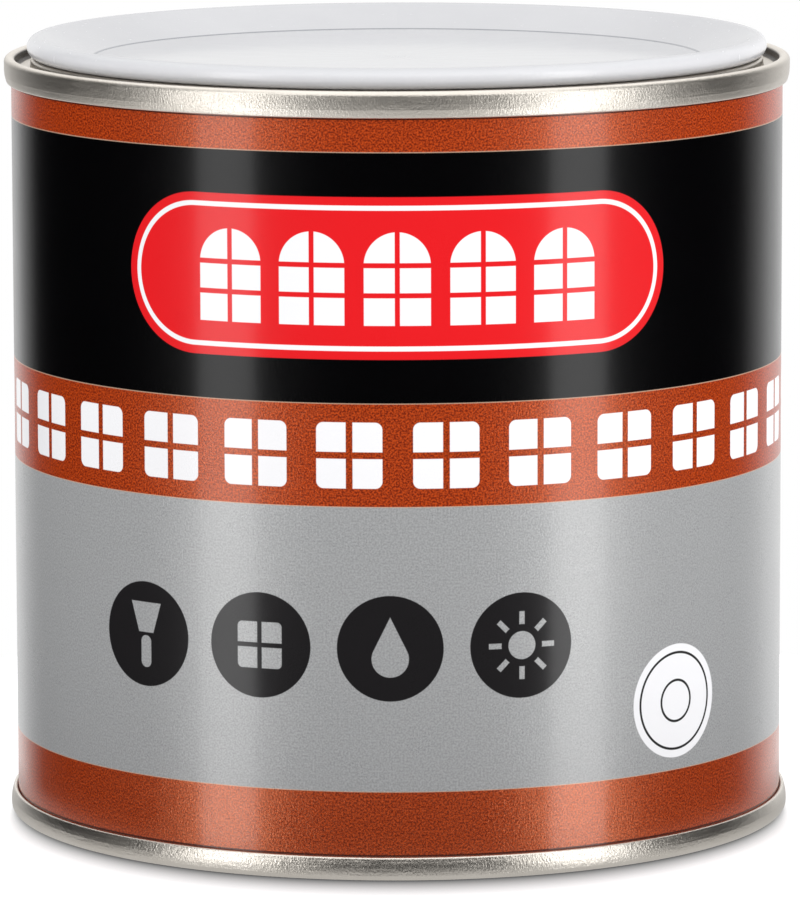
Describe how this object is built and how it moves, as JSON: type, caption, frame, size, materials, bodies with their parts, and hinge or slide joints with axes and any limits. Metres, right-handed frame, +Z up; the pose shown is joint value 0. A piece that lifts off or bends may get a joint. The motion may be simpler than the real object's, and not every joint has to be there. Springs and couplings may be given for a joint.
{
  "type": "putty tin",
  "caption": "Round tinplate can of putty with double-seamed ends, a ring top and a sunk plastic press-in lid that lifts off.",
  "frame": {"origin": "centre of the circle that the lower seam stands on, on the floor", "axes": "+Z up along the can's axis; -Y is the front of the label and +Y the welded side seam"},
  "size_m": [0.1008, 0.1008, 0.1003],
  "materials": {
    "printed_tinplate": "gloss litho print in orange, black and grey bands",
    "plain_tinplate": "bright tinplate, slightly wrinkled where it is folded",
    "seam_compound": "matt",
    "lid_plastic": "gloss white moulding",
    "putty": "smooth oily white paste"
  },
  "bodies": {
    "can": {"can_body": "printed_tinplate", "base_end": "plain_tinplate", "top_ring": "plain_tinplate", "top_compound": "seam_compound", "base_compound": "seam_compound", "putty": "putty"},
    "lid": {"lid": "lid_plastic"}
  },
  "joints": [
    {"name": "lid_lift", "type": "slide", "parent": "can", "child": "lid", "axis": [0, 0, 1], "range_m": [0, 0.05]}
  ]
}
